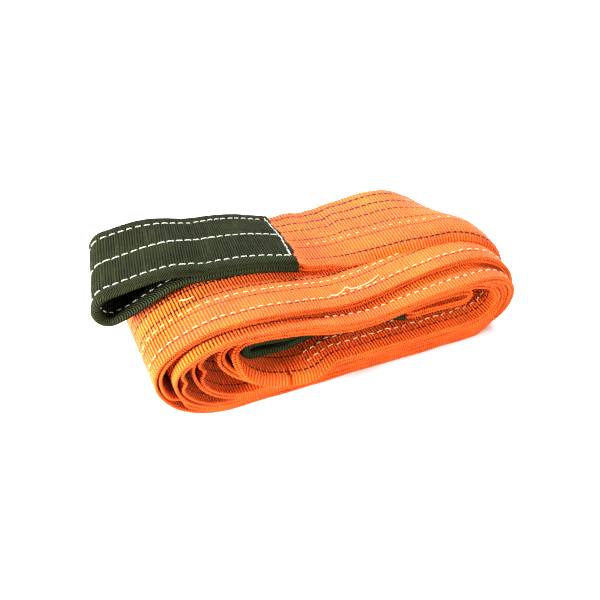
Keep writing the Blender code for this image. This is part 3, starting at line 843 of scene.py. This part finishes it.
# ---------------------------------------------------------------- sleeves
def sleeve_profile():
    """Section of a sleeve as (across, off): flat faces drawn in at the seams, full round margins."""
    width = SLEEVE_WIDTH + 0.0006
    inset = (WEB_WIDTH - width) / 2
    edge = SLEEVE_MARGIN_ROUND
    round_in = [(edge * (1 - cos(a)), sin(a)) for a in (radians(12), radians(32), radians(52), radians(72))]
    flats = np.linspace(edge, width - edge, 34)
    top = round_in + [(u, 1.0) for u in flats] + [(width - u, h) for u, h in reversed(round_in)]
    section = np.array(top + [(u, -h) for u, h in reversed(top)])
    across = section[:, 0] + inset
    seams = sum(bump(row, 0.0022, across) for row in SLEEVE_ROWS)
    full = 0.00055 * (bump(0.003, 0.0045, across) + bump(0.087, 0.0045, across)) + 0.00028
    half = LEG_THICKNESS / 2 + full - 0.00065 * seams
    return across, section[:, 1] * half


def sleeve_shape(path, webbing_shape):
    """Sleeve cloth ripples a little, its cut ends are uneven, and its loop is pinched at the tip."""
    tip = path.s[np.argmin(path.x)]

    def shape(s, across, off, ply):
        puff = 1.0 + 0.30 * bump(tip, 0.020, s) * bump(0.0, 0.012, across)
        ripple = 0.00022 * wobble(s * 2.2 + across * 25.0, 7.0)
        ripple = ripple + 0.00030 * wobble(s * 0.9 - across * 14.0, 2.0)
        edge_wave = 0.0006 * wobble(s * 0.9, 3.0)
        off = off * puff + ripple * np.sign(off) * (np.abs(off) > 0.0008)
        return webbing_shape(s, across + edge_wave, off, ply)

    return shape


def add_sleeve(name, path, webbing_shape, start, end, slant, material):
    """Tube of cloth with a real wall round the webbing of an eye; its first end is cut at a slant."""
    across, off = sleeve_profile()
    stations = np.linspace(start, end, round((end - start) / SLEEVE_RING_STEP) + 1)[:, None]
    shape = sleeve_shape(path, webbing_shape)
    skirt = np.exp(-(stations - start) / RAGGED_REACH) - np.exp(-(end - stations) / RAGGED_REACH)
    ragged = 0.0011 * np.sin(across * 210.0) + 0.0008 * np.sin(across * 530.0 + 1.0)
    oblique = slant * np.exp(-(stations - start) / SLANT_REACH) * across / WEB_WIDTH
    s = stations + skirt * ragged[None] - oblique
    shrink = (np.abs(off) - SLEEVE_WALL) * np.sign(off)
    inner_across = np.clip(across, WEB_WIDTH / 2 - SLEEVE_WIDTH / 2 + SLEEVE_WALL,
                           WEB_WIDTH / 2 + SLEEVE_WIDTH / 2 - SLEEVE_WALL)
    inner_off = np.where(np.abs(off) > SLEEVE_WALL, shrink, 0.15 * off)
    outside = place(path, shape, s, across[None] + 0 * s, off[None] + 0 * s)
    inside = place(path, shape, s, inner_across[None] + 0 * s, inner_off[None] + 0 * s)
    count = len(across)
    total = len(stations)
    points = np.concatenate([outside.reshape(-1, 3), inside.reshape(-1, 3)])
    faces = ring_faces(total, count)
    faces += [tuple(reversed(f)) for f in ring_faces(total, count, total * count)]
    for rim in (0, (total - 1) * count):
        lining = total * count + rim
        for j in range(count):
            after = (j + 1) % count
            faces.append((rim + j, rim + after, lining + after, lining + j))
    woven = np.stack([across[None] + 0 * s, s, off[None] + 0 * s], -1).reshape(-1, 3)
    return add_mesh(name, points, faces, material, np.concatenate([woven, woven])), shape


def add_bartack(name, path, shape, s, start, end, slant, surface, material):
    """Close zig-zag of thread across the end of a sleeve."""
    count = round((end - start) / BARTACK_PITCH)
    t = np.arange(count + 1)
    across = start + (end - start) * t / count
    zigzag = np.where(t % 2 == 0, 1.0, -1.0)
    along = s + BARTACK_HALF_WIDTH * zigzag + 0.0003 * wobble(across * 8.0, 5.0)
    along = along - slant * across / WEB_WIDTH
    side = 1.0 if surface > 0 else -1.0
    height = np.where(t % 2 == 0, 0.00045, 0.00030)
    fine = np.linspace(0, count, count * 3 + 1)
    along, across, height = (np.interp(fine, t, v) for v in (along, across, height))
    points = place(path, shape, along, across, surface + side * height)
    points, faces = tubes(points[None], facing(path, along)[None], THREAD_RADIUS)
    return add_mesh(name, points, faces, material)


# ---------------------------------------------------------------- the pieces
def build_body():
    """The wound strap: its two plies, the inner one in two pieces that meet end to end."""
    half = (PLY_THICKNESS + PLY_GAP) / 2
    start = coil.where_x(EYE_WEBBING_END_X, 0.0, RIGHT[0])
    meet = coil.where_x(WEBBING_ENDS_X, RIGHT[4], LEFT[4])
    outer = add_ply("outer_ply", coil, coil_shape, start, coil.length, half, 1, webbing)
    before = meet - HALF_BUTT_GAP
    after = meet + HALF_BUTT_GAP
    inner = add_ply("inner_ply_long", coil, coil_shape, start, before, -half, -1, webbing,
                    notches=(0.0, BUTT_NOTCH))
    short = add_ply("inner_ply_short", coil, coil_shape, after, coil.length, -half, -1, webbing,
                    notches=(BUTT_NOTCH, 0.0))
    for piece, node, length in ((outer, "webbing_outer_ply", coil.length - start),
                                (inner, "webbing_inner_ply_long", meet - start),
                                (short, "webbing_inner_ply_short", coil.length - meet)):
        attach(piece, "coil")
        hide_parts(node)


def build_body_rows():
    """White rows along the strap, on the faces that can be seen."""
    face = STRAP_THICKNESS / 2
    near_one = [(LEFT[0] - 0.05, RIGHT[1] - 0.01)]
    second_one = [(LEFT[0] - 0.04, RIGHT[1] - 0.01)]
    turn_two = [(coil.where_x(-0.012, LEFT[1], RIGHT[2]), RIGHT[2] + 0.02)]
    inside = [(RIGHT[4] - 0.01, coil.where_x(-0.030, RIGHT[4], LEFT[4]))]
    # node, place across, face, spans, looseness
    rows = (("body_seam_near", BODY_ROWS[0], face, near_one, 0.0),
            ("body_seam_second", BODY_ROWS[1], face, second_one, 0.0),
            ("body_seam_turn_two", TURN_TWO_ROW, face, turn_two, 0.0),
            ("body_seam_inside_near", INSIDE_ROWS[0], -face, inside, 0.0015),
            ("body_seam_inside_second", INSIDE_ROWS[1], -face, inside, 0.0012))
    for k, (node, across, surface, spans, loose) in enumerate(rows):
        ply = 1 if surface > 0 else -1
        row = add_stitches(node + "_stitches", coil, coil_shape, across, surface, ply, spans, body_thread,
                           duty=0.58, loose=loose, seed=10 + k, radius=BODY_THREAD_RADIUS, proud=0.00066)
        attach(row, "coil")
        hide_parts(node)
    top = add_stitches("body_seam_top_stitches", coil, coil_shape, BODY_ROWS[1], face, 1,
                       [(0.012, RIGHT[0] + 0.05)], body_thread, duty=0.40, seed=21,
                       radius=TOP_THREAD_RADIUS, proud=0.00026)
    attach(top, "coil")
    # thread ends that have come loose; place along X, across, height
    curl = ((0.003, 0.0150, 0.0006), (0.009, 0.0136, 0.0005), (0.016, 0.0155, 0.0016),
            (0.021, 0.0195, 0.0024), (0.024, 0.0150, 0.0014), (0.033, 0.0150, 0.0007),
            (0.046, 0.0165, 0.0006), (0.056, 0.0200, 0.0009))
    end = ((-0.116, 0.0500, 0.0005), (-0.111, 0.0455, 0.0016), (-0.105, 0.0470, 0.0006))
    for name, knots in (("body_loose_thread_curl", curl), ("body_loose_thread_end", end)):
        knots = [(coil.where_x(x, LEFT[0], RIGHT[1]), across, height) for x, across, height in knots]
        thread = add_thread(name, coil, coil_shape, knots, face, 1, LOOSE_THREAD_RADIUS, body_thread)
        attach(thread, "coil")


def build_outer_eye():
    """Webbing loop that carries on into the top run, its sleeve, rows and bar tack."""
    loop = add_ply("outer_eye_loop", outer_eye, outer_eye_shape, 0.0, outer_eye.length, 0.0, 1, webbing,
                   weave=(EYE_WEBBING_END_X, -1.0))
    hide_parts("outer_eye_webbing")
    tip = outer_eye.s[np.argmin(outer_eye.x)]
    start = outer_eye.where_x(THROAT_X - SLEEVE_START, 0.0, tip)
    end = outer_eye.where_x(THROAT_X - SLEEVE_START, tip, outer_eye.length)
    build_sleeve("outer_eye", "outer_eye", outer_eye, outer_eye_shape, start, end, -1, OUTER_SLEEVE_SLANT)
    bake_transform(loop)


def build_inner_eye():
    """Eye in the middle of the coil."""
    loop = add_ply("inner_eye_loop", inner_eye, eye_shape, 0.0, inner_eye.length, 0.0, 1, webbing)
    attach(loop, "coil")
    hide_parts("inner_eye_webbing")
    tip = inner_eye.s[np.argmin(inner_eye.x)]
    start = inner_eye.where_x(INNER_EYE_THROAT_X - SLEEVE_START, 0.0, tip)
    end = inner_eye.where_x(INNER_EYE_THROAT_X - SLEEVE_START, tip, inner_eye.length)
    build_sleeve("inner_eye", "coil", inner_eye, eye_shape, start, end, 1, 0.0)


def build_sleeve(prefix, body, path, webbing_shape, start, end, leg, slant):
    """Sleeve with three rows on both faces and a bar tack at the end of its open leg."""
    sleeve, shape = add_sleeve(prefix + "_sleeve_cloth", path, webbing_shape, start, end, slant, sleeve_cloth)
    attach(sleeve, body)
    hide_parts(prefix + "_sleeve")
    face = LEG_THICKNESS / 2 - 0.0002
    for k, (label, across) in enumerate(zip(("near", "middle", "far"), SLEEVE_ROWS)):
        # the middle row runs on past the bar tack to the cut edge
        inset = MIDDLE_ROW_INSET if label == "middle" else ROW_INSET
        spans = [(start + inset, end - inset)]
        duty = 0.88 if label == "middle" else 0.74
        outside = add_stitches(f"{prefix}_seam_{label}_stitches", path, shape, across, -face, 1, spans,
                               white_thread, duty=duty, seed=30 + k)
        inside = add_stitches(f"{prefix}_seam_{label}_inside", path, shape, across, face, 1, spans,
                              white_thread, duty=0.6, seed=40 + k)
        for row in (outside, inside):
            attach(row, body)
        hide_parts(f"{prefix}_seam_{label}")
    at = start + BARTACK_INSET if leg < 0 else end - BARTACK_INSET
    tack = add_bartack(prefix + "_bartack_zigzag", path, shape, at, BARTACK_FROM, BARTACK_TO, slant, -face,
                       white_thread)
    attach(tack, body)
    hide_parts(prefix + "_bartack")


# ---------------------------------------------------------------- stage
def build_stage():
    """Plain pale floor, soft studio light and the camera."""
    mesh = bpy.data.meshes.new("floor")
    r = FLOOR_REACH
    mesh.from_pydata([(-r, -r, 0), (r, -r, 0), (r, r, 0), (-r, r, 0)], [], [(0, 1, 2, 3)])
    mesh.materials.append(floor_material())
    floor = bpy.data.objects.new("floor", mesh)
    floor.location.z = FLOOR_Z
    bpy.context.scene.collection.objects.link(floor)

    world = bpy.data.worlds.new("studio")
    world.use_nodes = True
    background = world.node_tree.nodes["Background"]
    background.inputs["Color"].default_value = (1.0, 1.0, 1.0, 1.0)
    background.inputs["Strength"].default_value = WORLD_STRENGTH
    bpy.context.scene.world = world
    for name, place_at, size, power in LIGHTS:
        lamp = bpy.data.lights.new(name, "AREA")
        lamp.size = size
        lamp.energy = power
        holder = bpy.data.objects.new(name, lamp)
        holder.location = place_at
        holder.rotation_euler = (Vector(LIGHTS_AIM) - Vector(place_at)).to_track_quat("-Z", "Y").to_euler()
        bpy.context.scene.collection.objects.link(holder)

    camera = bpy.data.cameras.new("camera")
    camera.sensor_width = 36.0
    camera.lens = CAMERA_LENS
    holder = bpy.data.objects.new("camera", camera)
    level = cos(CAMERA_TILT)
    look = Vector((sin(CAMERA_TURN) * level, cos(CAMERA_TURN) * level, -sin(CAMERA_TILT)))
    holder.location = Vector(CAMERA_AIM) + Vector(SHIFT) - look * CAMERA_DISTANCE
    holder.rotation_euler = look.to_track_quat("-Z", "Y").to_euler()
    bpy.context.scene.collection.objects.link(holder)
    bpy.context.scene.camera = holder
    bpy.context.scene.view_settings.view_transform = "Standard"


build_body()
build_body_rows()
build_outer_eye()
build_inner_eye()
build_stage()
